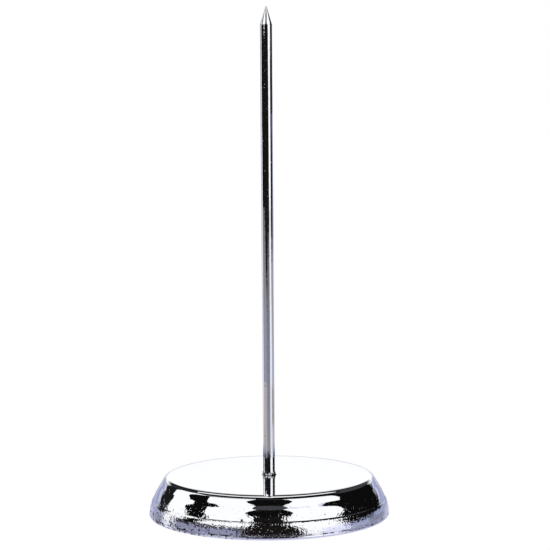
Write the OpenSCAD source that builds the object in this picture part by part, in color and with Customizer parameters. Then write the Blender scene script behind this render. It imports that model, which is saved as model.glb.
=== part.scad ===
// Receipt spike: a polished wire rod with a ground point, standing on a stepped, weighted base.
// Millimetres, +Z up. The origin is on the desk, on the axis of the rod.

/* [Rod] */
// Diameter of the drawn wire
rod_d = 4; // [3.2:0.1:5]
// Length that shows, from the top face of the base to the point
rod_exposed = 154.8; // [100:0.1:250]
// Length of the ground point
point_l = 5.8; // [3:0.1:12]
// Diameter that is left at the very end of the point
point_tip_d = 0.5; // [0.2:0.05:1]
// Diameter of the turned-down tail that passes through the base
tail_d = 3; // [2.4:0.1:3.1]

/* [Collar] */
// How far the collar stands out from the rod where it sits on the base
collar_w = 0.5; // [0.3:0.05:2]
// Height of the collar
collar_h = 1.2; // [0.8:0.1:4]
// How far the top of the flare stands out from the rod
collar_lip = 0.12; // [0.08:0.01:0.2]
// Height of the upright edge under the flare
collar_edge_h = 0.2; // [0.1:0.05:0.4]

/* [Base shell] */
// Diameter over the hem
base_d = 80; // [64:1:120]
// Height of the top face above the desk
base_h = 13.4; // [12.4:0.1:24]
// Thickness of the pressed sheet
sheet_t = 0.6; // [0.4:0.05:0.8]
// Width of the upper tier, from the flat top to the upper groove
upper_w = 2.7; // [2:0.1:4]
// Height of the upper tier
upper_h = 3.35; // [2.6:0.05:4]
// Width of the lower tier, from the upper to the lower groove
lower_w = 2.1; // [1.6:0.1:3]
// Height of the lower tier
lower_h = 4.15; // [3.2:0.05:4.5]
// Width of the skirt, from the lower groove to the outside of the hem
skirt_w = 1.75; // [1.3:0.05:2.6]
// Radius of the edge of the top face
shoulder_r = 1.2; // [0.9:0.05:1.6]
// Radius of the lip under the upper groove
upper_lip_r = 0.8; // [0.7:0.05:1]
// Radius of the lip under the lower groove
lower_lip_r = 1.2; // [0.9:0.05:1.5]
// Radius of the folded hem
hem_r = 0.6; // [0.5:0.05:0.9]
// Height of the folded edge inside the hem
hem_fold_h = 2; // [1.6:0.1:3]
// Gap between the hem and the desk
hem_gap = 0.3; // [0.2:0.05:0.6]

/* [Weight and pad] */
// Thickness of the felt pad
pad_t = 2; // [1.5:0.1:3]
// Rounding of the pad's cut edge
pad_edge = 0.3; // [0.1:0.05:0.6]
// Chamfer on the rim of the weight
weight_chamfer = 0.5; // [0.2:0.1:1]
// Diameter of the pocket that the nut sits in
pocket_d = 11; // [10:0.5:20]
// Gap between the end of the thread and the pad
pocket_clear = 1; // [0.5:0.1:1.5]

/* [Fastening] */
// Outside diameter of the flat washer
washer_d = 7; // [6:0.5:9]
// Thickness of the flat washer
washer_t = 0.5; // [0.4:0.1:1]
// Outside diameter of the spring washer
spring_d = 6.2; // [5.4:0.1:7]
// Thickness of the spring washer
spring_t = 0.8; // [0.5:0.1:1]
// Width of the slit in the spring washer
spring_slit = 0.7; // [0.4:0.1:1.2]
// Width of the nut across its flats
nut_flats = 5.5; // [5:0.1:7]
// Height of the nut
nut_h = 2.4; // [1.8:0.1:3]
// Pitch of the thread
thread_pitch = 0.5; // [0.35:0.05:0.7]
// Depth of the thread
thread_depth = 0.3; // [0.2:0.05:0.4]
// Length of thread below the nut
thread_end = 0.7; // [0.4:0.1:0.9]

/* [Clearances] */
// Radial gap between the tail and the collar, and between the thread and the nut
thread_gap = 0.04; // [0.03:0.01:0.1]
// Radial gap between the tail and the holes that it passes through
hole_gap = 0.15; // [0.1:0.05:0.3]
// Gap between the weight or the pad and the inside of the shell
weight_gap = 0.4; // [0.2:0.05:0.8]

/* [Hidden] */
$fn = 96;

CHROME = [0.80, 0.81, 0.85];
ZINC = [0.66, 0.67, 0.66];
IRON = [0.26, 0.26, 0.27];
FELT = [0.07, 0.07, 0.08];

// Heights, from the desk up
hem_z = hem_gap + hem_r;
lower_groove_z = base_h - upper_h - lower_h;
upper_groove_z = base_h - upper_h;
sheet_under = base_h - sheet_t;
rod_foot = pad_t + pocket_clear;
nut_z = rod_foot + thread_end;
spring_z = nut_z + nut_h;
washer_z = spring_z + spring_t;
seat_z = washer_z + washer_t;
rod_shoulder_z = base_h + collar_h;
rod_top = base_h + rod_exposed;

// Radii, from the axis out
rod_r = rod_d / 2;
tail_r = tail_d / 2;
hem_mid = base_d / 2 - hem_r;
lower_groove_r = base_d / 2 - skirt_w;
upper_groove_r = lower_groove_r - lower_w;
flat_r = upper_groove_r - upper_w;
mouth_r = base_d / 2 - 2 * hem_r;
hole_r = tail_r + hole_gap;

// The directions, in degrees above level, that the curved walls face.
// Each tier starts with a small lip that turns from the first angle to the second.
SHOULDER = [90, 39];
UPPER_LIP = [71, 31];
LOWER_LIP = [78, 18];
HEM_SEAM = 45;
LIP_STEPS = 10;
WALL_STEPS = 14;

function polar(r, a) = [r * cos(a), r * sin(a)];
function arc(c, r, from, to, steps) = [for (i = [0:steps]) c + polar(r, from + (to - from) * i / steps)];

// An arc that leaves p facing the angle a, ends at q, and is drawn depth inside that line
function wall_arc(p, a, q, depth) =
    let (d = q - p, r = -(d * d) / (2 * d * polar(1, a)), c = p - polar(r, a), e = (q - c) / r)
    arc(c, r - depth, a, atan2(e[1], e[0]), WALL_STEPS);

// A lip that starts at p and turns through the angles, then the wall from its end down to q
function tier(p, lip_r, turn, q, depth) =
    let (c = p - polar(lip_r, turn[0]))
    concat(
        arc(c, max(lip_r - depth, 0.05), turn[0], turn[1], LIP_STEPS),
        wall_arc(c + polar(lip_r, turn[1]), turn[1], q, depth)
    );

// The side of the base from the flat top down to the hem, drawn depth inside its outer face
hem_seam = [hem_mid, hem_z] + polar(hem_r, HEM_SEAM);
function side(depth) = concat(
    tier([flat_r, base_h], shoulder_r, SHOULDER, [upper_groove_r, upper_groove_z], depth),
    tier([upper_groove_r, upper_groove_z], upper_lip_r, UPPER_LIP, [lower_groove_r, lower_groove_z], depth),
    tier([lower_groove_r, lower_groove_z], lower_lip_r, LOWER_LIP, hem_seam, depth)
);

module washer_ring(outer_d, thickness, z) {
    translate([0, 0, z]) difference() {
        cylinder(d = outer_d, h = thickness);
        translate([0, 0, -thickness]) cylinder(r = hole_r, h = 3 * thickness);
    }
}

// The rod stands on the collar with the shoulder where its tail is turned down.
// The thread is drawn as one ring for each turn, a little past the washers.
module spike_rod() {
    crest_r = tail_r - thread_gap;
    root_r = crest_r - thread_depth;
    turns = ceil((seat_z - rod_foot) / thread_pitch) + 1;
    thread_top = rod_foot + turns * thread_pitch;
    thread = [for (i = [0:turns - 1], s = [[root_r, 0], [crest_r, 0.4], [crest_r, 0.6]])
        [s[0], rod_foot + (i + s[1]) * thread_pitch]];
    color(CHROME) rotate_extrude() polygon(concat(
        [[0, rod_foot]],
        thread,
        [[root_r, thread_top], [tail_r, thread_top + tail_r - root_r], [tail_r, rod_shoulder_z],
         [rod_r, rod_shoulder_z], [rod_r, rod_top - point_l], [point_tip_d / 2, rod_top], [0, rod_top]]
    ));
}

// The flare's wall is a hollow curve from its top down to the upright edge on the base
module seat_collar() {
    bore_r = tail_r + thread_gap;
    edge_r = rod_r + collar_w;
    spread = collar_w - collar_lip;
    rise = collar_h - collar_edge_h;
    flare = [for (i = [0:LIP_STEPS]) let (a = 90 * i / LIP_STEPS)
        [edge_r - spread * sin(a), base_h + collar_edge_h + rise * (1 - cos(a))]];
    color(CHROME) rotate_extrude()
        polygon(concat([[bore_r, base_h], [edge_r, base_h]], flare, [[bore_r, rod_shoulder_z]]));
}

module base_shell() {
    inside = [for (p = side(sheet_t)) if (p[1] > hem_gap + hem_fold_h) p];
    fold_top = [mouth_r, hem_gap + hem_fold_h - hem_r / 2];
    color(CHROME) rotate_extrude() polygon(concat(
        [[hole_r, base_h]],
        side(0),
        arc([hem_mid, hem_z], hem_r, HEM_SEAM, -180, WALL_STEPS),
        [fold_top],
        [for (i = [len(inside) - 1:-1:0]) inside[i]],
        [[hole_r, sheet_under]]
    ));
}

// The weight fills the shell from its underside down to the pad, and narrows with the tiers
module ballast_weight() {
    inset = sheet_t + weight_gap;
    upper = [upper_groove_r - inset, upper_groove_z - inset / 2];
    lower = [lower_groove_r - inset, lower_groove_z - inset / 2];
    color(IRON) difference() {
        rotate_extrude() polygon([
            [0, pad_t],
            [mouth_r - weight_gap - weight_chamfer, pad_t],
            [mouth_r - weight_gap, pad_t + weight_chamfer],
            [mouth_r - weight_gap, pad_t + 2 * weight_chamfer],
            lower,
            upper,
            [flat_r - weight_gap, sheet_under - weight_chamfer],
            [flat_r - weight_gap - weight_chamfer, sheet_under],
            [0, sheet_under]
        ]);
        cylinder(d = pocket_d, h = seat_z);
        cylinder(r = hole_r, h = base_h);
    }
}

module flat_washer() {
    color(ZINC) washer_ring(washer_d, washer_t, washer_z);
}

module spring_washer() {
    color(ZINC) difference() {
        washer_ring(spring_d, spring_t, spring_z);
        translate([0, -spring_slit / 2, spring_z - spring_t]) cube([spring_d, spring_slit, 3 * spring_t]);
    }
}

// The corners of the nut are turned off at 30 degrees on both faces
module hex_nut() {
    corner_r = nut_flats / 2 / cos(30);
    turn_off = (corner_r - nut_flats / 2) * tan(30);
    color(ZINC) translate([0, 0, nut_z]) difference() {
        intersection() {
            cylinder(r = corner_r, h = nut_h, $fn = 6);
            rotate_extrude() polygon([
                [0, 0], [nut_flats / 2, 0], [corner_r, turn_off],
                [corner_r, nut_h - turn_off], [nut_flats / 2, nut_h], [0, nut_h]
            ]);
        }
        translate([0, 0, -nut_h]) cylinder(r = tail_r, h = 3 * nut_h);
    }
}

module felt_pad() {
    pad_r = mouth_r - weight_gap;
    color(FELT) rotate_extrude() polygon([
        [0, 0], [pad_r - pad_edge, 0], [pad_r, pad_edge], [pad_r, pad_t], [0, pad_t]
    ]);
}

spike_rod();
seat_collar();
base_shell();
ballast_weight();
flat_washer();
spring_washer();
hex_nut();
felt_pad();
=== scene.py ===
from math import atan2, cos, degrees, pi, radians, sin

import bpy
from bpy.props import FloatProperty, FloatVectorProperty, IntProperty, PointerProperty
from bpy.types import Operator, Panel, PropertyGroup
from mathutils import Euler, Matrix, Vector

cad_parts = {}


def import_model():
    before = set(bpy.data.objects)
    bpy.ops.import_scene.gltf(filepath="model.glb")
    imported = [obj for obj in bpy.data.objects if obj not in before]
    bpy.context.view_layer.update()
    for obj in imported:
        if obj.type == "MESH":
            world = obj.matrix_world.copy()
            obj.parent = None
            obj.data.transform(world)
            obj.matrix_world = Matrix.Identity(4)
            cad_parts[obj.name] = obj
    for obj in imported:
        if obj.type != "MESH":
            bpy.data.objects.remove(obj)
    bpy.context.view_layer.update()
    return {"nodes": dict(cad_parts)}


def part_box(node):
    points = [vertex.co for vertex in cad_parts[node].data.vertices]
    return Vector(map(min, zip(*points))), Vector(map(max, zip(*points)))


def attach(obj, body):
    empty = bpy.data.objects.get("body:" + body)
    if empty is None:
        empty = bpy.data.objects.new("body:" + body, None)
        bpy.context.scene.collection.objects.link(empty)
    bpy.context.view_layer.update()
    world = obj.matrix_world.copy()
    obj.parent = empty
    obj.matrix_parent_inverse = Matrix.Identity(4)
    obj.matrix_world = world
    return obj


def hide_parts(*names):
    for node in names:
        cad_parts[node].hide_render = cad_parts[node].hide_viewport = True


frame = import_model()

bl_info = {
    "name": "Receipt Spike",
    "version": (1, 0, 0),
    "blender": (4, 5, 0),
    "location": "View3D > Sidebar > Receipt Spike",
    "description": "Dresses the packed receipt spike and sets its studio",
    "category": "Object",
}

MM = 0.001
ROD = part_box("spike_rod")
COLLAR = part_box("seat_collar")
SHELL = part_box("base_shell")
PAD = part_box("felt_pad")
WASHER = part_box("flat_washer")


# Outlines

def polar(radius, angle):
    """The point at that radius and angle, in degrees, from the origin of an outline."""
    return Vector((radius * cos(radians(angle)), radius * sin(radians(angle))))


def arc(centre, radius, start, end, steps):
    """Points on an arc between two angles in degrees, both ends included."""
    return [centre + polar(radius, start + (end - start) * i / steps) for i in range(steps + 1)]


def bend(start, first, arc_length, last, steps):
    """An arc of that length that leaves start where its face looks up by the first angle, in degrees,
    and bends evenly to the last one. A point is (place, angle)."""
    radius = arc_length / radians(first - last)
    angles = [first + (last - first) * i / steps for i in range(steps + 1)]
    return [(start + polar(radius, angle) - polar(radius, first), angle) for angle in angles]


def closing_bend(start, first, end, steps):
    """The arc that leaves start at the first angle and ends at end."""
    chord = end - start
    last = 2 * degrees(atan2(chord.x, -chord.y)) - first
    radius = chord.length / (2 * sin(radians(first - last) / 2))
    return bend(start, first, radius * radians(first - last), last, steps)


def rounded(before, corner, after, radius):
    """Points of a fillet in place of a corner, as a quadratic curve between its two tangent points."""
    first = corner + (before - corner).normalized() * radius
    last = corner + (after - corner).normalized() * radius
    steps = 5
    shares = [i / steps for i in range(steps + 1)]
    return [first * (1 - t) ** 2 + corner * (2 * t * (1 - t)) + last * t ** 2 for t in shares]


# Sizes and colours

def length(name, description, default):
    """A length property in metres."""
    return FloatProperty(name=name, description=description, default=default,
                         unit="LENGTH", precision=5)


def colour(name, description, default):
    """A colour property in linear red, green and blue."""
    return FloatVectorProperty(name=name, description=description, default=default,
                               subtype="COLOR", size=3, min=0.0, max=2.0)


class RodSizes(PropertyGroup):
    radius: length("Radius", "Radius of the drawn wire", ROD[1].x)
    point: length("Point", "Length of the ground point", 5.8 * MM)
    tip_radius: length("Tip", "Radius left at the very end of the point", 0.25 * MM)
    tip_round: length("Tip Rounding", "Rounding of the very end of the point", 0.12 * MM)
    tail_radius: length("Tail", "Radius of the tail below the collar", 1.5 * MM)
    thread_gap: length("Thread Gap", "How far the crests stay inside the tail", 0.04 * MM)
    thread_pitch: length("Pitch", "Pitch of the thread", 0.5 * MM)
    thread_depth: length("Thread Depth", "Depth of the thread", 0.3 * MM)
    segments: IntProperty(name="Segments", description="Faces round the rod", default=128, min=24)


class CollarSizes(PropertyGroup):
    lip: length("Lip", "How far the top of the flare stands out from the rod", 0.12 * MM)
    edge: length("Edge", "Height of the upright edge under the flare", 0.06 * MM)
    notches: IntProperty(name="Notches", description="Notches pressed into the flare", default=15, min=0)
    notch_depth: length("Notch Depth", "Depth of each notch", 0.3 * MM)
    segments: IntProperty(name="Segments", description="Faces round the collar", default=216, min=24)


class ShellSizes(PropertyGroup):
    sheet: length("Sheet", "Thickness of the pressed sheet", 0.6 * MM)
    flat: length("Flat", "Radius of the flat of the top face", 31.66 * MM)
    crown: length("Crown", "Length of the gentle fall at the edge of the top face", 1.96 * MM)
    shoulder: length("Shoulder", "Length of the bend from the top face to the upper tier", 1.85 * MM)
    upper_tier: length("Upper Tier", "Length of the upper tier down to its groove", 1.94 * MM)
    band: length("Band", "Length of the steady band under the upper groove", 1.17 * MM)
    lower_tier: length("Lower Tier", "Length of the lower tier from that band to its groove", 4.08 * MM)
    lip: length("Lip", "Length of the bend under the lower groove", 1.43 * MM)
    groove: length("Groove", "Length of the sharp bend in each groove", 0.07 * MM)
    hem: length("Hem", "Radius of the folded hem", 0.6 * MM)
    hem_fold: length("Hem Fold", "Height of the folded edge inside the hem", 2.0 * MM)
    hole: length("Hole", "Radius of the hole in the top", 1.65 * MM)
    segments: IntProperty(name="Segments", description="Faces round the shell", default=320, min=48)


class PadSizes(PropertyGroup):
    pile: length("Pile", "Length of the fibres that stand off the felt", 0.25 * MM)
    edge: length("Edge", "Rounding of the cut edge", 0.5 * MM)
    fibres: FloatProperty(name="Fibres", description="Fibres on each square millimetre", default=0.8, min=0.0)
    segments: IntProperty(name="Segments", description="Faces round the pad", default=160, min=24)


class Finishes(PropertyGroup):
    chrome: colour("Chrome", "Colour of clean chrome plate", (0.86, 0.87, 0.895))
    # The dull colour also serves as painted shade in the shell's hem seam and lower groove and at the foot of
    # the collar
    dull: colour("Dull", "Colour of chrome in pits and in grime", (0.04, 0.035, 0.032))
    tarnish: colour("Chrome Tarnish", "Colour of the brown specks low on the shell", (0.42, 0.29, 0.27))
    iron: colour("Iron", "Colour of the cast weight", (0.075, 0.075, 0.08))
    rust: colour("Rust", "Colour of the rust on the weight", (0.16, 0.06, 0.03))
    zinc: colour("Zinc", "Colour of zinc plate", (0.62, 0.64, 0.63))
    zinc_tarnish: colour("Tarnish", "Colour of tarnished zinc", (0.42, 0.40, 0.34))
    felt: colour("Felt", "Colour of the felt", (0.012, 0.012, 0.015))
    felt_light: colour("Felt Fibres", "Colour of the lighter fibres in the felt", (0.05, 0.05, 0.058))


class StudioSizes(PropertyGroup):
    radius: length("Radius", "Distance of the softboxes and flags from the spike", 2.0)
    floor: length("Floor", "Radius of the floor", 4.0)
    white: FloatProperty(name="White", description="Brightness of a softbox", default=1.14, min=0.0)


# Nodes

FLOAT = "NodeSocketFloat"
SHARED = {}


def fill(tree, node, inputs):
    """Sets a node's inputs. A value is a constant, or a socket to link."""
    for name, value in inputs.items():
        if isinstance(value, bpy.types.NodeSocket):
            tree.links.new(value, node.inputs[name])
        else:
            node.inputs[name].default_value = value


def add(tree, kind, inputs=None, **settings):
    """A new node in the tree, with its inputs filled."""
    node = tree.nodes.new(kind)
    for name, value in settings.items():
        setattr(node, name, value)
    fill(tree, node, inputs or {})
    return node


def put(tree, kind, inputs=None, **settings):
    """The first output of a new node."""
    return add(tree, kind, inputs, **settings).outputs[0]


def calc(tree, operation, *values, clamp=False):
    """The result of one Math node."""
    return put(tree, "ShaderNodeMath", dict(enumerate(values)), operation=operation, use_clamp=clamp)


def times(tree, *values):
    """The product of the values."""
    product = values[0]
    for value in values[1:]:
        product = calc(tree, "MULTIPLY", product, value)
    return product


def weighted(tree, *pairs):
    """The sum of (value, weight) pairs."""
    total = None
    for pair in pairs:
        part = times(tree, *pair)
        total = part if total is None else calc(tree, "ADD", total, part)
    return total


def ramp(tree, value, low, high, to_low=0.0, to_high=1.0):
    """A value that turns smoothly from to_low to to_high as the given one goes from low to high."""
    inputs = {"Value": value, "From Min": low, "From Max": high, "To Min": to_low, "To Max": to_high}
    return put(tree, "ShaderNodeMapRange", inputs, interpolation_type="SMOOTHSTEP")


def blend(tree, share, first, second):
    """A colour between two colours."""
    first, second = [value if isinstance(value, bpy.types.NodeSocket) else (*value, 1.0)
                     for value in (first, second)]
    return add(tree, "ShaderNodeMix", {0: share, 6: first, 7: second}, data_type="RGBA").outputs[2]


def height_of(tree, place):
    """The height of a place, along Z."""
    return add(tree, "ShaderNodeSeparateXYZ", {0: place}).outputs["Z"]


def new_group(name, kind, inputs, outputs):
    """A node group with its sockets, and its input and output nodes. A row is (name, type, default)."""
    group = bpy.data.node_groups.new(name, kind)
    for title, socket_type, default in inputs:
        socket = group.interface.new_socket(name=title, in_out="INPUT", socket_type=socket_type)
        if default is not None:
            socket.default_value = default
    for title, socket_type in outputs:
        group.interface.new_socket(name=title, in_out="OUTPUT", socket_type=socket_type)
    return group, group.nodes.new("NodeGroupInput").outputs, group.nodes.new("NodeGroupOutput").inputs


def shared(make):
    """The node group that a function makes, built once."""
    if make.__name__ not in SHARED:
        SHARED[make.__name__] = make()
    return SHARED[make.__name__]


# Effects

def grain_group():
    """Noise of a real size, drawn out along Z by a factor."""
    group, given, result = new_group(
        "Metal Grain", "ShaderNodeTree",
        [("Vector", "NodeSocketVector", None), ("Size", FLOAT, 0.5 * MM), ("Draw", FLOAT, 1.0),
         ("Detail", FLOAT, 2.0)],
        [("Height", FLOAT)])
    across = calc(group, "DIVIDE", 1.0, given["Size"])
    along = calc(group, "DIVIDE", across, given["Draw"])
    scale = put(group, "ShaderNodeCombineXYZ", {"X": across, "Y": across, "Z": along})
    place = put(group, "ShaderNodeVectorMath", {0: given["Vector"], 1: scale}, operation="MULTIPLY")
    noise = put(group, "ShaderNodeTexNoise",
                {"Vector": place, "Scale": 1.0, "Detail": given["Detail"], "Roughness": 0.55})
    group.links.new(noise, result["Height"])
    return group


def pits_group():
    """Round pits in the plating: a share of the cells of a grid of real spacing holds one."""
    group, given, result = new_group(
        "Plating Pits", "ShaderNodeTree",
        [("Vector", "NodeSocketVector", None), ("Spacing", FLOAT, 1.0 * MM), ("Share", FLOAT, 0.1),
         ("Radius", FLOAT, 0.2)],
        [("Mask", FLOAT)])
    scale = calc(group, "DIVIDE", 1.0, given["Spacing"])
    cells = add(group, "ShaderNodeTexVoronoi", {"Vector": given["Vector"], "Scale": scale})
    drawn = add(group, "ShaderNodeSeparateColor", {"Color": cells.outputs["Color"]})
    chosen = calc(group, "LESS_THAN", drawn.outputs[0], given["Share"])
    size = times(group, given["Radius"], calc(group, "ADD", drawn.outputs[1], 0.35))
    off = calc(group, "DIVIDE", cells.outputs["Distance"], size)
    edge = calc(group, "MULTIPLY", calc(group, "SUBTRACT", 1.0, off, clamp=True), 2.0, clamp=True)
    group.links.new(times(group, chosen, edge), result["Mask"])
    return group


def rings_group():
    """Fine rings round the Z axis, as a buffing wheel leaves them."""
    group, given, result = new_group(
        "Buffing Rings", "ShaderNodeTree",
        [("Vector", "NodeSocketVector", None), ("Pitch", FLOAT, 0.3 * MM)],
        [("Height", FLOAT)])
    flat = put(group, "ShaderNodeVectorMath", {0: given["Vector"], 1: (1.0, 1.0, 0.0)}, operation="MULTIPLY")
    radius = add(group, "ShaderNodeVectorMath", {0: flat}, operation="LENGTH").outputs["Value"]
    turns = calc(group, "DIVIDE", radius, given["Pitch"])
    noise = put(group, "ShaderNodeTexNoise", {"W": turns, "Scale": 1.0, "Detail": 3.0}, noise_dimensions="1D")
    group.links.new(noise, result["Height"])
    return group


def shade_band_group():
    """A soft band of painted shade round the piece at a height, broken up by noise, for a seam, a groove or a
    joint.
    """
    group, given, result = new_group(
        "Painted Shade Band", "ShaderNodeTree",
        [("Vector", "NodeSocketVector", None), ("Height", FLOAT, 0.0), ("Width", FLOAT, 0.4 * MM),
         ("Patch", FLOAT, 2.0 * MM)],
        [("Mask", FLOAT)])
    z = height_of(group, given["Vector"])
    off = calc(group, "ABSOLUTE", calc(group, "SUBTRACT", z, given["Height"]))
    near = calc(group, "SUBTRACT", 1.0, calc(group, "DIVIDE", off, given["Width"]), clamp=True)
    scale = calc(group, "DIVIDE", 1.0, given["Patch"])
    noise = put(group, "ShaderNodeTexNoise", {"Vector": given["Vector"], "Scale": scale, "Detail": 4.0})
    group.links.new(times(group, near, ramp(group, noise, 0.42, 0.62)), result["Mask"])
    return group


def use(tree, make, **values):
    """The first output of a shared node group with those inputs."""
    return put(tree, "ShaderNodeGroup", values, node_tree=shared(make))


def grain(tree, place, size, draw=1.0, detail=1.0):
    """Noise of a real size, drawn out along Z by a factor."""
    return use(tree, grain_group, Vector=place, Size=size, Draw=draw, Detail=detail)


def pits(tree, place, spacing, share, radius):
    """Round pits in a share of the cells of that spacing. Their radius is in cells."""
    return use(tree, pits_group, Vector=place, Spacing=spacing, Share=share, Radius=radius)


def rings(tree, place, pitch):
    """Fine rings round the Z axis."""
    return use(tree, rings_group, Vector=place, Pitch=pitch)


def band(tree, place, height, width, patch):
    """A soft broken band of painted shade at a height."""
    return use(tree, shade_band_group, Vector=place, Height=height, Width=width, Patch=patch)


def bumped(tree, height):
    """The normal of a surface that is raised by a height in metres."""
    return put(tree, "ShaderNodeBump", {"Height": height, "Distance": 1.0})


# Finishes

def new_material(name):
    """A material with a Principled BSDF, and the Object coordinates of its piece."""
    material = bpy.data.materials.new(name)
    material.use_nodes = True
    tree = material.node_tree
    bsdf = next(node for node in tree.nodes if node.type == "BSDF_PRINCIPLED")
    return material, tree, bsdf, add(tree, "ShaderNodeTexCoord").outputs["Object"]


def chrome(name, finish, roughness, relief, dirt_and_shade, specks):
    """Chrome plate. relief(tree, place) gives the height in metres, dirt_and_shade(tree, place) the share of
    pits, dirty specks and painted shade, which take the dull colour, specks(tree, place) the shares of specks
    that scatter light and of their tarnish."""
    material, tree, bsdf, place = new_material(name)
    # Pits, dirty specks and painted shade in seams and joints turn the plate to the dull colour
    dirt_and_shade_share = dirt_and_shade(tree, place)
    scattered, tarnished = specks(tree, place)
    smear = ramp(tree, grain(tree, place, size=6 * MM, draw=1.4, detail=3.0), 0.5, 0.75)
    dull = weighted(tree, (dirt_and_shade_share, 0.35), (scattered, 0.5), (smear, roughness))
    plate = blend(tree, tarnished, finish.chrome, finish.tarnish)
    fill(tree, bsdf, {"Base Color": blend(tree, dirt_and_shade_share, plate, finish.dull), "Metallic": 1.0,
                      "Roughness": calc(tree, "ADD", dull, roughness),
                      "Normal": bumped(tree, relief(tree, place))})
    return material


def rod_chrome(finish):
    """Bright drawn wire: marks along its length, and small dents."""
    def relief(tree, place):
        drawn = grain(tree, place, size=0.5 * MM, draw=5.0, detail=3.0)
        dents = grain(tree, place, size=1.3 * MM, draw=1.5)
        return weighted(tree, (drawn, 0.007 * MM), (dents, 0.012 * MM))

    def dirt_and_shade(tree, place):
        return pits(tree, place, spacing=1.2 * MM, share=0.06, radius=0.16)

    def specks(tree, place):
        return pits(tree, place, spacing=0.7 * MM, share=0.12, radius=0.3), 0.0

    return chrome("Rod Chrome", finish, 0.03, relief, dirt_and_shade, specks)


def collar_chrome(finish):
    """Chrome over the rough swaged flare, with painted shade at its foot."""
    def relief(tree, place):
        return times(tree, grain(tree, place, size=0.8 * MM), 0.16 * MM)

    def dirt_and_shade(tree, place):
        # Painted shade in a band at the foot of the collar, where it meets the shell
        foot = band(tree, place, height=COLLAR[0].z, width=0.3 * MM, patch=0.6 * MM)
        dots = pits(tree, place, spacing=0.75 * MM, share=0.42, radius=1.1)
        return calc(tree, "ADD", foot, dots, clamp=True)

    def specks(tree, place):
        return pits(tree, place, spacing=0.6 * MM, share=0.15, radius=0.3), 0.0

    return chrome("Collar Chrome", finish, 0.03, relief, dirt_and_shade, specks)


def shell_chrome(finish, shell):
    """Chrome over pressed sheet: nearly clean on top, with orange peel, draw marks and pits further down,
    with dark dirty specks low on its left side, and with painted shade along the hem seam and in the lower
    groove."""
    groove = SHELL[1].z - 2.8 * MM
    lower_groove = SHELL[1].z - 7.45 * MM
    hem_seam = SHELL[0].z + 2 * shell.hem

    def relief(tree, place):
        z = height_of(tree, place)
        down = ramp(tree, z, lower_groove + 0.6 * MM, groove - 1.6 * MM, 1.0, 0.06)
        low = ramp(tree, z, lower_groove - 0.9 * MM, lower_groove + 0.4 * MM, 1.0, 0.0)
        peel = times(tree, grain(tree, place, size=0.85 * MM), down)
        rough = times(tree, grain(tree, place, size=0.6 * MM), low)
        marks = times(tree, grain(tree, place, size=0.9 * MM, draw=5.0), low)
        pimples = times(tree, pits(tree, place, spacing=0.8 * MM, share=0.22, radius=0.3), down)
        buffed = times(tree, rings(tree, place, pitch=0.2 * MM), down)
        return weighted(tree, (peel, 0.042 * MM), (buffed, 0.0015 * MM), (rough, 0.042 * MM),
                        (marks, 0.040 * MM), (pimples, 0.014 * MM))

    def dirt_and_shade(tree, place):
        xyz = add(tree, "ShaderNodeSeparateXYZ", {0: place}).outputs
        low = ramp(tree, xyz["Z"], lower_groove, lower_groove + 3.0 * MM, 1.0, 0.0)
        on_skirt = ramp(tree, xyz["Z"], lower_groove - 2.2 * MM, lower_groove - 1.0 * MM, 1.0, 0.0)
        on_left = ramp(tree, xyz["X"], -14 * MM, -2 * MM, 1.0, 0.0)
        pitted = times(tree, pits(tree, place, spacing=2.2 * MM, share=0.12, radius=0.2), low)
        splashed = times(tree, pits(tree, place, spacing=0.8 * MM, share=0.30, radius=1.1), on_skirt, on_left)
        # Painted shade along the hem seam and, fainter, in the lower groove
        seam_shade = band(tree, place, height=hem_seam, width=0.3 * MM, patch=2.5 * MM)
        crease = band(tree, place, height=lower_groove, width=0.15 * MM, patch=3.0 * MM)
        grime_and_shade = weighted(tree, (seam_shade, 1.5), (crease, 0.2), (splashed, 0.9))
        return calc(tree, "ADD", grime_and_shade, pitted, clamp=True)

    def specks(tree, place):
        z = height_of(tree, place)
        down = ramp(tree, z, lower_groove + 0.6 * MM, groove + 0.8 * MM, 1.0, 0.0)
        low = ramp(tree, z, lower_groove - 0.9 * MM, lower_groove - 0.2 * MM, 1.0, 0.0)
        few = times(tree, pits(tree, place, spacing=0.5 * MM, share=0.20, radius=0.36), down)
        many = times(tree, pits(tree, place, spacing=0.5 * MM, share=0.30, radius=0.4), low)
        patches = ramp(tree, grain(tree, place, size=2.0 * MM, detail=2.0), 0.42, 0.55)
        return calc(tree, "ADD", few, many, clamp=True), times(tree, patches, many)

    return chrome("Cover Chrome", finish, 0.02, relief, dirt_and_shade, specks)


def cast_iron(finish):
    """Sand-cast iron with patches of rust."""
    material, tree, bsdf, place = new_material("Cast Iron")
    sand = grain(tree, place, size=0.7 * MM, detail=6.0)
    rusted = ramp(tree, grain(tree, place, size=7 * MM, detail=5.0), 0.52, 0.68)
    fill(tree, bsdf, {"Base Color": blend(tree, rusted, finish.iron, finish.rust),
                      "Roughness": weighted(tree, (sand, 0.3), (rusted, 0.2), (1.0, 0.42)),
                      "Metallic": calc(tree, "SUBTRACT", 0.85, rusted, clamp=True),
                      "Normal": bumped(tree, times(tree, sand, 0.12 * MM))})
    return material


def zinc_plate(finish):
    """Bright zinc plate, tarnished in patches, with fine turning marks."""
    material, tree, bsdf, place = new_material("Zinc Plate")
    tarnish = ramp(tree, grain(tree, place, size=2.5 * MM, detail=4.0), 0.45, 0.7)
    fill(tree, bsdf, {"Base Color": blend(tree, tarnish, finish.zinc, finish.zinc_tarnish), "Metallic": 1.0,
                      "Roughness": weighted(tree, (tarnish, 0.2), (1.0, 0.24)),
                      "Normal": bumped(tree, times(tree, rings(tree, place, pitch=0.12 * MM), 0.004 * MM))})
    return material


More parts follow.
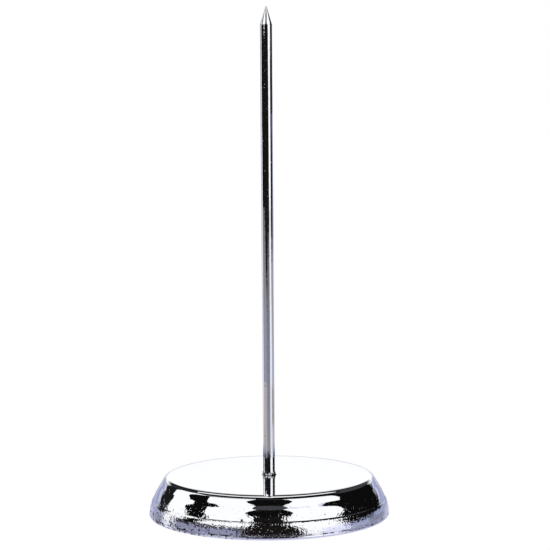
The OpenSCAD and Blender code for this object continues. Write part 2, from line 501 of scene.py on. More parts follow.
def black_felt(finish):
    """Pressed wool felt: matted fibres of two tones, with a soft sheen."""
    material, tree, bsdf, place = new_material("Black Felt")
    matted = grain(tree, place, size=0.5 * MM, detail=6.0)
    clumps = grain(tree, place, size=3 * MM, detail=3.0)
    light = weighted(tree, (ramp(tree, matted, 0.4, 0.7), 0.7), (ramp(tree, clumps, 0.4, 0.7), 0.3))
    fill(tree, bsdf, {"Base Color": blend(tree, light, finish.felt, finish.felt_light), "Roughness": 0.95,
                      "Normal": bumped(tree, times(tree, matted, 0.25 * MM)),
                      "Sheen Weight": 0.4, "Sheen Roughness": 0.5})
    return material


# Geometry

def turned_tree():
    """Turns the piece's own outline, a chain of points at (radius, 0, height), round the Z axis.
    Notches run up and down a stretch of it, and a thread winds round another stretch."""
    tree, given, result = new_group(
        "Turned Piece", "GeometryNodeTree",
        [("Outline", "NodeSocketGeometry", None), ("Segments", "NodeSocketInt", 96),
         ("Notches", "NodeSocketInt", 0), ("Notch Depth", FLOAT, 0.0),
         ("Notch Low", FLOAT, 0.0), ("Notch High", FLOAT, 1.0),
         ("Thread Pitch", FLOAT, 1.0), ("Thread Depth", FLOAT, 0.0),
         ("Thread Low", FLOAT, 0.0), ("Thread High", FLOAT, 1.0),
         ("Material", "NodeSocketMaterial", None)],
        [("Geometry", "NodeSocketGeometry")])
    outline = given["Outline"]
    count = add(tree, "GeometryNodeAttributeDomainSize", {"Geometry": outline}).outputs["Point Count"]
    columns = calc(tree, "ADD", given["Segments"], 1.0)
    grid = put(tree, "GeometryNodeMeshGrid", {"Vertices X": columns, "Vertices Y": count})
    index = put(tree, "GeometryNodeInputIndex")
    row = calc(tree, "MODULO", index, count)
    column = calc(tree, "FLOOR", calc(tree, "DIVIDE", calc(tree, "ADD", index, 0.5), count))
    turn = calc(tree, "DIVIDE", column, given["Segments"])
    angle = times(tree, turn, 2 * pi)
    sample = add(tree, "GeometryNodeSampleIndex", {"Geometry": outline, "Index": row},
                 data_type="FLOAT_VECTOR")
    fill(tree, sample, {"Value": put(tree, "GeometryNodeInputPosition")})
    point = add(tree, "ShaderNodeSeparateXYZ", {0: sample.outputs[0]}).outputs

    def wave(phase):
        """0 at a whole number, 1 halfway to the next, in straight lines."""
        return times(tree, calc(tree, "PINGPONG", phase, 0.5), 2.0)

    def between(low, high, soft):
        """1 where the height is between low and high, with soft ends inside them."""
        up = calc(tree, "DIVIDE", calc(tree, "SUBTRACT", point["Z"], low), soft, clamp=True)
        down = calc(tree, "DIVIDE", calc(tree, "SUBTRACT", high, point["Z"]), soft, clamp=True)
        return calc(tree, "MINIMUM", up, down)

    valley = wave(times(tree, turn, given["Notches"]))
    notch = times(tree, calc(tree, "POWER", valley, 2.0), given["Notch Depth"],
                  between(given["Notch Low"], given["Notch High"], 0.1 * MM))
    groove = wave(calc(tree, "SUBTRACT", calc(tree, "DIVIDE", point["Z"], given["Thread Pitch"]), turn))
    # A tenth of the groove is flat at its crest and at its root
    groove = calc(tree, "SUBTRACT", times(tree, groove, 1.25), 0.125, clamp=True)
    thread = times(tree, groove, given["Thread Depth"],
                   between(given["Thread Low"], given["Thread High"], 0.4 * MM))
    radius = calc(tree, "SUBTRACT", calc(tree, "SUBTRACT", point["X"], notch), thread)
    x = times(tree, radius, calc(tree, "COSINE", angle))
    y = times(tree, radius, calc(tree, "SINE", angle))
    place = put(tree, "ShaderNodeCombineXYZ", {"X": x, "Y": y, "Z": point["Z"]})
    moved = put(tree, "GeometryNodeSetPosition", {"Geometry": grid, "Position": place})
    merged = put(tree, "GeometryNodeMergeByDistance", {"Geometry": moved, "Distance": 0.0005 * MM})
    outward = put(tree, "GeometryNodeFlipFaces", {"Mesh": merged})
    smooth = put(tree, "GeometryNodeSetShadeSmooth", {"Geometry": outward, "Shade Smooth": True})
    finish_tree(tree, smooth, given, result)
    return tree


def fuzz_tree():
    """Short leaning fibres that stand off a felt surface."""
    tree, given, result = new_group(
        "Felt Fibres", "GeometryNodeTree",
        [("Felt", "NodeSocketGeometry", None), ("Density", FLOAT, 1.0), ("Length", FLOAT, 0.25 * MM),
         ("Thickness", FLOAT, 0.02 * MM), ("Lean", FLOAT, 0.9), ("Seed", "NodeSocketInt", 7),
         ("Material", "NodeSocketMaterial", None)],
        [("Geometry", "NodeSocketGeometry")])
    spots = add(tree, "GeometryNodeDistributePointsOnFaces",
                {"Mesh": given["Felt"], "Density": given["Density"], "Seed": given["Seed"]}).outputs
    fibre = put(tree, "GeometryNodeMeshCone",
                {"Vertices": 3, "Radius Top": times(tree, given["Thickness"], 0.3),
                 "Radius Bottom": given["Thickness"], "Depth": given["Length"]})
    lean = times(tree, given["Lean"], -1.0)
    tilt = add(tree, "FunctionNodeRandomValue", {"Seed": given["Seed"]}, data_type="FLOAT_VECTOR")
    fill(tree, tilt, {0: put(tree, "ShaderNodeCombineXYZ", {axis: lean for axis in "XYZ"}),
                      1: put(tree, "ShaderNodeCombineXYZ", {axis: given["Lean"] for axis in "XYZ"})})
    leaning = put(tree, "FunctionNodeRotateRotation", {"Rotation": spots["Rotation"], 1: tilt.outputs[0]})
    planted = put(tree, "GeometryNodeInstanceOnPoints",
                  {"Points": spots["Points"], "Instance": fibre, "Rotation": leaning})
    joined = add(tree, "GeometryNodeJoinGeometry")
    for part in (given["Felt"], planted):
        tree.links.new(part, joined.inputs[0])
    finish_tree(tree, joined.outputs[0], given, result)
    return tree


def finish_tree(tree, geometry, given, result):
    """Ends a geometry tree: instances made real, with the material."""
    whole = put(tree, "GeometryNodeRealizeInstances", {"Geometry": geometry})
    dressed = put(tree, "GeometryNodeSetMaterial", {"Geometry": whole, "Material": given["Material"]})
    tree.links.new(dressed, result["Geometry"])


def make_by_nodes(piece, tree, **values):
    """Runs a node tree on the piece with those inputs, and keeps the result as its plain mesh.
    An underscore in a name stands for a space."""
    modifier = piece.modifiers.new(tree.name, "NODES")
    modifier.node_group = tree
    identifiers = {s.name: s.identifier for s in tree.interface.items_tree if s.in_out == "INPUT"}
    for name, value in values.items():
        modifier[identifiers[name.replace("_", " ")]] = value
    depsgraph = bpy.context.evaluated_depsgraph_get()
    mesh = bpy.data.meshes.new_from_object(piece.evaluated_get(depsgraph))
    piece.modifiers.clear()
    piece.data = mesh


def turned(name, outline, crease, **values):
    """A new piece, turned from an outline of (radius, height) points. Edges sharper than crease stay
    sharp."""
    mesh = bpy.data.meshes.new(name)
    edges = [(i, i + 1) for i in range(len(outline) - 1)]
    mesh.from_pydata([(p.x, 0.0, p.y) for p in outline], edges, [])
    piece = bpy.data.objects.new(name, mesh)
    bpy.context.scene.collection.objects.link(piece)
    make_by_nodes(piece, shared(turned_tree), **values)
    piece.data.set_sharp_from_angle(angle=crease)
    if len(piece.data.polygons) == 0:
        raise RuntimeError(name + " came out empty")
    return piece


def settle(piece, node):
    """The piece stands for a CAD node, which it hides, and rides on the body."""
    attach(piece, "root")
    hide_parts(node)


def repaint(node, material):
    """A CAD node keeps its shape and gets a new material."""
    mesh = frame["nodes"][node].data
    mesh.materials.clear()
    mesh.materials.append(material)


# Pieces

class RECEIPT_SPIKE_OT_rod(Operator):
    """Turn the rod: ground point, polished shank and threaded tail"""
    bl_idname = "receipt_spike.rod"
    bl_label = "Rod"

    def execute(self, context):
        rod = context.scene.spike_rod
        top = ROD[1].z
        foot = ROD[0].z
        shoulder = COLLAR[1].z
        crest = rod.tail_radius - rod.thread_gap
        thread_top = WASHER[1].z + rod.thread_pitch
        rows_per_turn = 10
        step = rod.thread_pitch / rows_per_turn
        count = round((thread_top - foot) / step)
        lead_in = 0.24 * MM
        point_fillet = 0.15 * MM
        tip_centre = Vector((rod.tip_radius - rod.tip_round, top - rod.tip_round))
        outline = [Vector((0, top)), Vector((tip_centre.x, top))]
        outline += arc(tip_centre, rod.tip_round, start=80, end=17, steps=5)
        outline += rounded(Vector((rod.tip_radius, top)), Vector((rod.radius, top - rod.point)),
                           Vector((rod.radius, shoulder)), point_fillet)
        outline += [Vector((rod.radius, shoulder)), Vector((rod.tail_radius, shoulder)),
                    Vector((rod.tail_radius, thread_top + rod.thread_gap))]
        outline += [Vector((crest, thread_top - i * step)) for i in range(count)]
        outline += [Vector((crest - lead_in, foot)), Vector((0, foot))]
        piece = turned("polished_rod", outline, crease=radians(32), Segments=rod.segments,
                       Thread_Pitch=rod.thread_pitch, Thread_Depth=rod.thread_depth,
                       Thread_Low=foot, Thread_High=thread_top,
                       Material=rod_chrome(context.scene.spike_finishes))
        settle(piece, "spike_rod")
        return {"FINISHED"}


class RECEIPT_SPIKE_OT_collar(Operator):
    """Turn the flared collar and press the notches into its rim"""
    bl_idname = "receipt_spike.collar"
    bl_label = "Collar"

    def execute(self, context):
        collar = context.scene.spike_collar
        rod = context.scene.spike_rod
        low = COLLAR[0].z
        high = COLLAR[1].z
        edge_radius = COLLAR[1].x
        top_radius = rod.radius + collar.lip
        bore = rod.tail_radius + rod.thread_gap
        rise = high - low - collar.edge
        chamfer = 0.03 * MM
        plain_top = 0.3 * MM
        steps = 14
        flare = []
        for i in range(steps + 1):
            angle = radians(90) * i / steps
            flare.append(Vector((top_radius + (edge_radius - top_radius) * (1 - sin(angle)),
                                 low + collar.edge + rise * (1 - cos(angle)))))
        outline = [Vector((bore, high)), Vector((top_radius, high))] + flare[::-1][1:]
        outline += [Vector((edge_radius, low + chamfer)), Vector((edge_radius - chamfer, low)),
                    Vector((bore, low)), Vector((bore, high))]
        piece = turned("notched_collar", outline, crease=radians(40), Segments=collar.segments,
                       Notches=collar.notches, Notch_Depth=collar.notch_depth,
                       Notch_Low=low - MM, Notch_High=high - plain_top,
                       Material=collar_chrome(context.scene.spike_finishes))
        settle(piece, "seat_collar")
        return {"FINISHED"}


class RECEIPT_SPIKE_OT_shell(Operator):
    """Turn the pressed base shell, with its tiers, grooves and folded hem"""
    bl_idname = "receipt_spike.shell"
    bl_label = "Base Shell"

    def execute(self, context):
        shell = context.scene.spike_shell
        top = SHELL[1].z
        gap = SHELL[0].z
        outer = SHELL[1].x
        hem = Vector((outer - shell.hem, gap + shell.hem))
        seam_angle = 25
        flat_steps = 6
        # Each stretch of the side: its length, the angle of its face at the end, its steps
        stretches = [(shell.crown, 85.1, 8), (shell.shoulder, 31.4, 18), (shell.upper_tier, 26.4, 12),
                     (shell.groove, 32.0, 3), (shell.band, 32.5, 6), (shell.lower_tier, 23.0, 18),
                     (shell.groove, 38.5, 3), (shell.lip, 16.4, 14)]
        side = [(Vector((shell.flat, top)), 90)]
        for stretch in stretches:
            side += bend(*side[-1], *stretch)[1:]
        side += closing_bend(*side[-1], hem + polar(shell.hem, seam_angle), steps=18)[1:]
        fold_height = gap + shell.hem_fold
        inside = [place - polar(shell.sheet, angle) for place, angle in side]
        inside = [place for place in inside if place.y > fold_height]
        outline = [Vector((shell.hole, top))]
        outline += [Vector((shell.hole + (shell.flat - shell.hole) * i / flat_steps, top))
                    for i in range(1, flat_steps)]
        outline += [place for place, _ in side]
        outline += arc(hem, shell.hem, start=seam_angle, end=-180, steps=24)[1:]
        outline += [Vector((hem.x - shell.hem, fold_height - shell.hem / 2))]
        outline += inside[::-1]
        outline += [Vector((shell.hole, top - shell.sheet)), Vector((shell.hole, top))]
        piece = turned("chromed_cover", outline, crease=radians(35), Segments=shell.segments,
                       Material=shell_chrome(context.scene.spike_finishes, shell))
        settle(piece, "base_shell")
        return {"FINISHED"}


class RECEIPT_SPIKE_OT_weight(Operator):
    """Give the cast weight its rough iron"""
    bl_idname = "receipt_spike.weight"
    bl_label = "Ballast Weight"

    def execute(self, context):
        repaint("ballast_weight", cast_iron(context.scene.spike_finishes))
        return {"FINISHED"}


class RECEIPT_SPIKE_OT_fastening(Operator):
    """Give the washers and the nut their zinc plate"""
    bl_idname = "receipt_spike.fastening"
    bl_label = "Washers and Nut"

    def execute(self, context):
        zinc = zinc_plate(context.scene.spike_finishes)
        for node in ("flat_washer", "spring_washer", "hex_nut"):
            repaint(node, zinc)
        return {"FINISHED"}


class RECEIPT_SPIKE_OT_pad(Operator):
    """Cut the felt pad and raise its fibres"""
    bl_idname = "receipt_spike.pad"
    bl_label = "Felt Pad"

    def execute(self, context):
        pad = context.scene.spike_pad
        felt = black_felt(context.scene.spike_finishes)
        low = PAD[0].z + pad.pile
        high = PAD[1].z
        outer = PAD[1].x - pad.pile
        circles = 30
        outline = [Vector((0, high))]
        outline += [Vector((outer * i / circles, high)) for i in range(1, circles)]
        outline += arc(Vector((outer - pad.edge, high - pad.edge)), pad.edge, start=90, end=0, steps=5)
        outline += arc(Vector((outer - pad.edge, low + pad.edge)), pad.edge, start=0, end=-90, steps=5)
        outline += [Vector((outer * i / circles, low)) for i in range(circles - 1, -1, -1)]
        piece = turned("felt_disc", outline, crease=radians(60), Segments=pad.segments, Material=felt)
        make_by_nodes(piece, fuzz_tree(), Density=pad.fibres / MM ** 2, Length=pad.pile,
                      Thickness=0.02 * MM, Material=felt)
        settle(piece, "felt_pad")
        return {"FINISHED"}


# Studio

FAR = 1.10
BLACK = (0.004, 0.004, 0.004)
DARK = (0.012, 0.012, 0.014)
SOOT = (0.010, 0.008, 0.008)
LILAC = (0.36, 0.40, 0.62)
PALE_LILAC = (0.62, 0.64, 0.80)
PALE = (0.74, 0.75, 0.84)
WHITE = (1.0, 1.0, 1.0, 1.0)

# The cards and flags that the chrome mirrors. A row is its name, its distance as a share of the studio's
# radius, its outline as (azimuth, low, high) in degrees, its light, and the fade of a soft edge in degrees
RING = [
    ("left_drop", 1.0, [(-180, 17, 61.5), (-170, 17, 59), (-162, 16.5, 54), (-157, 16, 47), (-150, 14, 45),
     (-143, 9, 46), (-137, 5, 48), (-130, 3, 48), (-122, 1, 48)], DARK),
    ("left_drop_glow", 0.98, [(-154, 20, 44), (-136, 20, 44), (-124, 25, 42)], (0.026, 0.026, 0.030), 3),
    ("left_strip", 1.0, [(-122, 30.5, 52), (-117, 32.6, 50), (-112, 35.5, 50)], (0.10, 0.10, 0.11)),
    ("left_strip_end", 1.0, [(-112, 35.5, 50), (-106, 39, 50), (-100, 42.2, 50), (-94, 45, 47)],
     (0.24, 0.24, 0.26)),
    ("left_top", 0.99, [(-131, 49, 88), (-112, 47, 88), (-106, 46, 88), (-100, 44.5, 88), (-96, 42, 88),
     (-88, 42.9, 88), (-79, 46.6, 88), (-68, 50.1, 88), (-56.5, 53.3, 88), (-44, 56, 88), (-30, 58.1, 88),
     (-20, 59, 88)], BLACK),
    ("front_top", 1.0, [(-20, 52.6, 88), (-10, 53.3, 88), (0, 53.3, 88), (10, 53, 88), (20, 51.8, 88),
     (30, 50.6, 88), (40, 49.5, 88), (50, 48, 88), (60, 45.6, 88), (70, 41.4, 88), (75, 39.3, 88),
     (80, 36.6, 88), (83, 34.5, 88), (85, 32.5, 88), (87, 30, 88)], BLACK),
    ("right_drop", 1.0, [(87, 3.5, 88), (89, 1, 88), (104, 1, 88), (110, 3.5, 88), (130, 3.5, 88),
     (131, 3.6, 52), (137, 4.5, 50), (143, 6, 50), (150, 14, 49), (157, 16, 48), (162, 16.5, 52),
     (170, 17, 59), (180, 17, 61.5)], BLACK),
    ("right_drop_glow", 0.98, [(96, 36, 50), (112, 29, 52), (130, 22, 50), (150, 18, 48), (165, 20, 44)],
     (0.050, 0.050, 0.054), 3),
    ("right_flag_low", 1.0, [(71, 15, 24), (76, 9, 25.8), (80, 4.5, 26.6), (84, 4, 28), (87, 3.5, 30)],
     BLACK),
    ("left_flag", 1.0, [(-100.5, 26.3, 28), (-97, 25, 30.5), (-93, 23.2, 33.8), (-91, 21, 35),
     (-89.5, 12, 36), (-84, 5, 39), (-80, 4.5, 40.8), (-76.5, 5, 42), (-75, 6, 35), (-74, 14, 32),
     (-72.5, 21, 31), (-70, 24, 30), (-67, 26, 28.8), (-65, 27, 27.8)], BLACK),
    ("left_flag_foot", 1.0, [(-104, 3, 7.5), (-97, 3, 11), (-90, 3.5, 13.5), (-84, 5, 14), (-76, 5, 14),
     (-68, 5.8, 13.2), (-60, 6.6, 12.8), (-50, 7.4, 13), (-40, 8.4, 13.8), (-32, 9.8, 15), (-27, 11, 18)],
     DARK),
    ("left_sweep", 0.15, [(-98, 0, 3.5), (-84, 0, 4.8), (-68, 0, 6.3), (-50, 0, 7.7), (-40, 0, 8.5),
     (-33, 0, 9.5), (-27, 0, 10.5)], (0.31, 0.32, 0.47)),
    ("left_low", 1.0, [(-100, 0, 6), (-96, 0, 7.6), (-27, 0, 7.6)], SOOT),
    ("front_bar", 1.0, [(-84, 37.5, 42), (-78, 38.6, 44), (-72, 40.3, 46.5), (-66, 42.6, 48),
     (-60, 44.8, 49.5), (-50, 47.7, 50.4), (-40, 50.1, 52.6), (-30, 51.6, 54.4), (-20, 52.6, 55.5)], BLACK),
    ("front_bar_edge", 1.0, [(-60, 44.9, 45.3), (-40, 49.8, 50.2), (-20, 52, 52.6), (20, 51, 51.8),
     (40, 48.7, 49.5), (60, 44.8, 45.6), (75, 38.7, 39.3)], (0.76, 0.79, 0.94)),
    ("front_column", 0.99, [(-22, 50.8, 51.8), (-18, 50.4, 53), (-14, 50.2, 53.6), (15.5, 50.2, 53.6),
     (20, 50.4, 53), (24, 50.6, 51.2)], (0.055, 0.055, 0.060)),
    ("front_flag", 0.98, [(-28.5, 44.2, 45), (-25, 42.3, 46.8), (-21, 41, 48.3), (-17, 40.2, 50.4),
     (17.5, 40.2, 50.4), (21, 40.8, 48.8), (25, 42, 47.5), (29, 44, 45)], BLACK),
    ("front_foot", 0.98, [(-40, 0, 4), (-33, 0, 7), (-27, 0, 13), (-23, 0, 17), (-19, 0, 24),
     (-17, 0, 40.3), (16, 0, 40.3), (19, 0, 26), (23, 0, 20), (27, 0, 14), (31, 0, 9), (35, 0, 5)], SOOT),
    ("right_low", 0.15, [(46, 0, 3.4), (56, 0, 7), (74, 0, 7.4), (77, 0, 4.4)], (0.86, 0.88, 1.09)),
    ("right_rod_flag", 1.0, [(71, 0, 7), (90, 0, 4), (112, 0, 4), (118, 0, 1)], BLACK),
    ("left_foot_end", 1.0, [(-135, 9, 11.3), (-104, 8.5, 12)], (0.25, 0.25, 0.33)),
    ("right_sweep", FAR, [(106, 0, 4.5), (140, 0, 5)], LILAC),
    ("right_near_sweep", 0.15, [(77, 0, 3.3), (106, 0, 3.8)], LILAC),
    ("right_back_sweep", FAR, [(140, 0, 8), (165, 0, 8)], LILAC),
    ("back_sweep", FAR, [(165, 0, 8), (195, 0, 8)], (0.70, 0.72, 0.82)),
    ("left_back_sweep", FAR, [(195, 0, 8), (240, 0, 8)], LILAC),
    ("left_back_light", 1.08, [(195, 4, 7), (240, 4, 7)], PALE_LILAC),
    ("right_back_light", 1.08, [(125, 3.6, 6), (165, 4, 7)], PALE_LILAC),
    ("left_haze", 1.02, [(195, 8, 22), (208, 8, 17), (220, 8, 14)], (0.12, 0.18, 0.33)),
    ("right_haze", 1.02, [(140, 8, 12), (152, 8, 17), (165, 8, 22)], (0.12, 0.18, 0.30)),
]


def studio_object(name, mesh, material, seen_by_camera):
    """A stage object, which isn't part of the spike."""
    thing = bpy.data.objects.new(name, mesh)
    bpy.context.scene.collection.objects.link(thing)
    mesh.materials.append(material)
    thing.visible_camera = seen_by_camera
    thing.visible_shadow = seen_by_camera


def cleared(owner):
    """The emptied node tree of a material or a world."""
    owner.use_nodes = True
    owner.node_tree.nodes.clear()
    return owner.node_tree


def mixed(tree, share, first, second):
    """A shader between two shaders."""
    return put(tree, "ShaderNodeMixShader", {0: share, 1: first, 2: second})


def glow(name, light):
    """A material that gives off light evenly, where its panel has its whole share."""
    material = bpy.data.materials.new(name)
    tree = cleared(material)
    emission = put(tree, "ShaderNodeEmission", {"Color": (*light, 1.0), "Strength": 1.0})
    clear = put(tree, "ShaderNodeBsdfTransparent")
    share = add(tree, "ShaderNodeAttribute", attribute_name="share").outputs["Fac"]
    add(tree, "ShaderNodeOutputMaterial", {"Surface": mixed(tree, share, clear, emission)})
    return material


def dome_point(distance, azimuth, elevation):
    """A point of a dome round the spike. Azimuth 0 is the camera's side, and turns to the right of it."""
    a = radians(azimuth)
    e = radians(elevation)
    return distance * cos(e) * sin(a), -distance * cos(e) * cos(a), distance * sin(e)


def panel(name, distance, stations, light, soft=0.0):
    """A curved panel on a dome. Its outline is given as (azimuth, low, high) in degrees, from left to
    right, and its edges fade out over some degrees if it is soft."""
    column_width = 3
    row_height = 4
    columns = []
    for first, last in zip(stations, stations[1:]):
        steps = max(1, round((last[0] - first[0]) / column_width))
        columns += [[u + (v - u) * i / steps for u, v in zip(first, last)] for i in range(steps)]
    columns.append(stations[-1])
    tallest = max(high - low for _, low, high in columns)
    rows = max(2, round(tallest / row_height))
    points = []
    shares = []
    for azimuth, low, high in columns:
        for j in range(rows + 1):
            elevation = low + (high - low) * j / rows
            edge = min(azimuth - columns[0][0], columns[-1][0] - azimuth, elevation - low, high - elevation)
            points.append(dome_point(distance, azimuth, elevation))
            shares.append(min(1.0, edge / soft) if soft else 1.0)
    faces = []
    for i in range(len(columns) - 1):
        for corner in range(i * (rows + 1), i * (rows + 1) + rows):
            faces.append((corner, corner + 1, corner + rows + 2, corner + rows + 1))
    mesh = bpy.data.meshes.new(name)
    mesh.from_pydata(points, [], faces)
    mesh.attributes.new("share", "FLOAT", "POINT").data.foreach_set("value", shares)
    studio_object(name, mesh, glow(name, light), False)


def disc(name, radius, height):
    """A flat round mesh, facing up."""
    steps = 96
    turns = [2 * pi * i / steps for i in range(steps)]
    mesh = bpy.data.meshes.new(name)
    mesh.from_pydata([(radius * cos(a), radius * sin(a), height) for a in turns], [], [tuple(range(steps))])
    return mesh


def painted_floor_light(tree):
    """What the chrome sees of the floor: a glowing tone of painted light and shade, by the distance from the
    spike, in metres, and by the direction. to_right and to_back go from -1 to 1."""
    place = add(tree, "ShaderNodeTexCoord").outputs["Object"]
    xyz = add(tree, "ShaderNodeSeparateXYZ", {0: place}).outputs
    distance = add(tree, "ShaderNodeVectorMath", {0: place}, operation="LENGTH").outputs["Value"]
    to_right = calc(tree, "DIVIDE", xyz["X"], distance)
    to_back = calc(tree, "DIVIDE", xyz["Y"], distance)

    def past(value, low, high):
        """0 up to low, 1 from high."""
        return ramp(tree, value, low, high)

    def before(value, low, high):
        """1 up to low, 0 from high."""
        return ramp(tree, value, low, high, 1.0, 0.0)

    front = before(xyz["Y"], -0.02, 0.02)
    right = past(to_right, 0.52, 0.62)
    far_right = past(to_right, 0.93, 0.98)
    beside = blend(tree, right, (0.42, 0.44, 0.56), PALE)
    near_off = blend(tree, front, LILAC, beside)
    far_left = blend(tree, past(distance, 0.26, 0.34), (0.61, 0.54, 0.48), (0.66, 0.63, 0.70))
    far_beside = blend(tree, right, far_left, PALE)
    far_back = blend(tree, past(to_right, -0.3, 0.3), (1.08, 1.04, 0.98), (0.92, 0.88, 0.87))
    far_off = blend(tree, before(to_back, 0.15, 0.4), far_back, far_beside)
    tone = blend(tree, past(distance, 0.11, 0.14), near_off, far_off)
    # Painted shade on the floor close in front of the base, and a grey painted light further out
    lit = blend(tree, past(distance, 0.10, 0.125), (0.015, 0.012, 0.012), (0.46, 0.45, 0.47))
    middle = times(tree, past(to_right, -0.70, -0.58), before(to_right, 0.52, 0.62), front)
    end = calc(tree, "MAXIMUM", ramp(tree, to_right, -0.3, 0.3, 0.45, 1.2),
               ramp(tree, to_right, -0.95, -0.45, 1.9, 0.45))
    past_end = times(tree, past(calc(tree, "SUBTRACT", distance, end), 0.0, 0.6), before(xyz["Y"], -0.1, 0.6))
    back = times(tree, past(distance, 0.9, 1.4), past(xyz["Y"], 0.0, 0.2),
                 ramp(tree, to_right, -0.3, 0.3, 0.25, 0.7))
    # A painted shadow in a ring round the base
    base_shadow_ring = times(tree, past(distance, 0.066, 0.074), before(distance, 0.105, 0.118),
                       calc(tree, "SUBTRACT", 0.85, times(tree, front, right), clamp=True))
    side = times(tree, past(distance, 0.9, 1.5), far_right)
    close = times(tree, past(distance, 0.16, 0.20), before(distance, 0.26, 0.34), far_right)
    under = before(distance, 0.058, 0.068)
    # Each share lays a painted tone over the floor: shade in front, beyond a distance, far back and far
    # right, the shadow ring, a brown tone to the right and pale lilac close round the base
    for share, added in ((middle, lit), (past_end, (0.01, 0.009, 0.009)), (back, (0.03, 0.03, 0.04)),
                         (base_shadow_ring, (0.02, 0.018, 0.018)), (side, (0.02, 0.02, 0.03)),
                         (close, (0.22, 0.12, 0.02)), (under, (0.62, 0.62, 0.84))):
        tone = blend(tree, share, tone, added)
    return tone


def floor_material():
    """White to the camera with the shadow of the spike; in reflections, a glossy table top that glows with
    painted light and shade.
    """
    material = bpy.data.materials.new("Studio Floor")
    tree = cleared(material)
    # In reflections the floor glows with its painted light and shade
    seen = put(tree, "ShaderNodeEmission", {"Color": painted_floor_light(tree), "Strength": 1.0})
    mirror = put(tree, "ShaderNodeBsdfGlossy", {"Color": WHITE, "Roughness": 0.08})
    in_metal = mixed(tree, put(tree, "ShaderNodeFresnel", {"IOR": 1.45}), seen, mirror)
    paint = put(tree, "ShaderNodeBsdfDiffuse", {"Color": (0.8, 0.8, 0.8, 1.0)})
    shade = put(tree, "ShaderNodeBsdfDiffuse", {"Color": (0.15, 0.15, 0.15, 1.0)})
    white = put(tree, "ShaderNodeEmission", {"Color": WHITE, "Strength": 0.93})
    to_camera = put(tree, "ShaderNodeAddShader", {0: white, 1: shade})
    path = add(tree, "ShaderNodeLightPath").outputs
    plain = mixed(tree, path["Is Camera Ray"], paint, to_camera)
    whole = mixed(tree, path["Is Glossy Ray"], plain, in_metal)
    add(tree, "ShaderNodeOutputMaterial", {"Surface": whole})
    return material


def white_world():
    """White to the camera, in metal and through glass, and a plain grey for the light on the spike."""
    world = bpy.data.worlds.new("White Studio")
    bpy.context.scene.world = world
    tree = cleared(world)
    path = add(tree, "ShaderNodeLightPath").outputs
    mirrored = calc(tree, "MAXIMUM", path["Is Glossy Ray"], path["Is Transmission Ray"])
    seen = calc(tree, "MAXIMUM", path["Is Camera Ray"], mirrored)
    strength = ramp(tree, seen, 0.0, 1.0, 0.5, 1.0)
    background = put(tree, "ShaderNodeBackground", {"Color": WHITE, "Strength": strength})
    add(tree, "ShaderNodeOutputWorld", {"Surface": background})


def lamp(name, place, size, power):
    """A soft square lamp that looks at the spike, and stays out of reflections."""
    data = bpy.data.lights.new(name, "AREA")
    data.size = size
    data.energy = power
    thing = bpy.data.objects.new(name, data)
    aim = Vector((0, 0, 0.05))
    thing.location = place
    thing.rotation_euler = (aim - Vector(place)).to_track_quat("-Z", "Y").to_euler()
    thing.visible_glossy = False
    bpy.context.scene.collection.objects.link(thing)


def camera():
    """A long lens a little above the base, as the photograph was taken."""
    focal_px = 1973.0
    frame_px = 550.0
    place = (2.4 * MM, -648.4 * MM, 144.24 * MM)
    tilt_down = radians(5.64)
    roll = radians(0.37)
    data = bpy.data.cameras.new("Camera")
    data.sensor_fit = "HORIZONTAL"
    data.sensor_width = 36.0
    data.lens = focal_px / frame_px * data.sensor_width
    data.clip_start = 0.01
    thing = bpy.data.objects.new("Camera", data)
    turn = Euler((radians(90) - tilt_down, 0, 0)).to_matrix().to_4x4() @ Matrix.Rotation(-roll, 4, "Z")
    thing.matrix_world = Matrix.Translation(place) @ turn
    bpy.context.scene.collection.objects.link(thing)
    bpy.context.scene.camera = thing


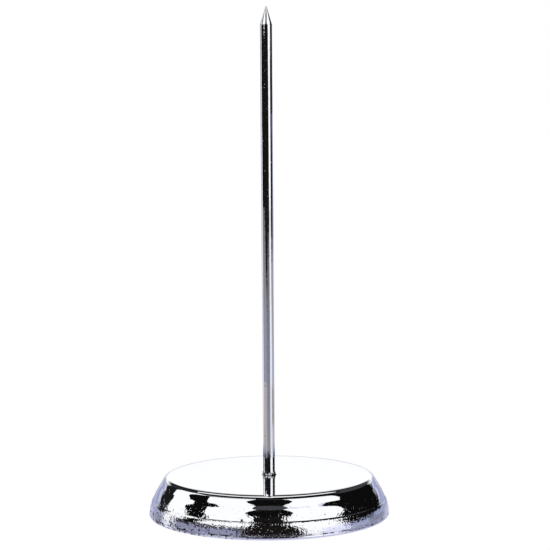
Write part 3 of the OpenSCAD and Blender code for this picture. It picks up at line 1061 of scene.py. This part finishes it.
class RECEIPT_SPIKE_OT_studio(Operator):
    """Set the floor, the softboxes and dark flags, the lamps and the camera"""
    bl_idname = "receipt_spike.studio"
    bl_label = "Studio"

    def execute(self, context):
        studio = context.scene.spike_studio
        white = (studio.white,) * 3
        softboxes = [
            ("top_card", FAR, [(-180, 40, 90), (180, 40, 90)], white),
            ("white_wall", FAR, [(-122, 0, 60), (88, 0, 60)], white),
            ("back_card", 0.95, [(139, 7, 22), (221, 7, 22)], white, 7),
        ]
        for name, share, *shape_and_light in softboxes + RING:
            panel(name, share * studio.radius, *shape_and_light)
        studio_object("floor", disc("floor", studio.floor, -0.05 * MM), floor_material(), True)
        white_world()
        lamp("Key Lamp", place=(1.1, -1.0, 1.4), size=0.9, power=9.0)
        lamp("Fill Lamp", place=(-1.2, -0.8, 1.2), size=0.9, power=6.0)
        camera()
        context.scene.view_settings.view_transform = "Standard"
        return {"FINISHED"}


class RECEIPT_SPIKE_PT_panel(Panel):
    """Lists the pieces' operators and their sizes and colours"""
    bl_label = "Receipt Spike"
    bl_idname = "RECEIPT_SPIKE_PT_panel"
    bl_space_type = "VIEW_3D"
    bl_region_type = "UI"
    bl_category = "Receipt Spike"

    def draw(self, context):
        for operator in OPERATORS:
            self.layout.operator(operator.bl_idname)
        for name, group in GROUPS.items():
            box = self.layout.box()
            for title in group.__annotations__:
                box.prop(getattr(context.scene, name), title)


GROUPS = {"spike_rod": RodSizes, "spike_collar": CollarSizes, "spike_shell": ShellSizes,
          "spike_pad": PadSizes, "spike_finishes": Finishes, "spike_studio": StudioSizes}
OPERATORS = (RECEIPT_SPIKE_OT_rod, RECEIPT_SPIKE_OT_collar, RECEIPT_SPIKE_OT_shell, RECEIPT_SPIKE_OT_weight,
             RECEIPT_SPIKE_OT_fastening, RECEIPT_SPIKE_OT_pad, RECEIPT_SPIKE_OT_studio)


def register():
    for item in (*GROUPS.values(), *OPERATORS, RECEIPT_SPIKE_PT_panel):
        bpy.utils.register_class(item)
    for name, group in GROUPS.items():
        setattr(bpy.types.Scene, name, PointerProperty(type=group))


def unregister():
    for name in GROUPS:
        delattr(bpy.types.Scene, name)
    for item in (RECEIPT_SPIKE_PT_panel, *reversed(OPERATORS), *reversed(GROUPS.values())):
        bpy.utils.unregister_class(item)


def main():
    register()
    for operator in OPERATORS:
        family, name = operator.bl_idname.split(".")
        getattr(getattr(bpy.ops, family), name)()


if __name__ == "__main__":
    main()
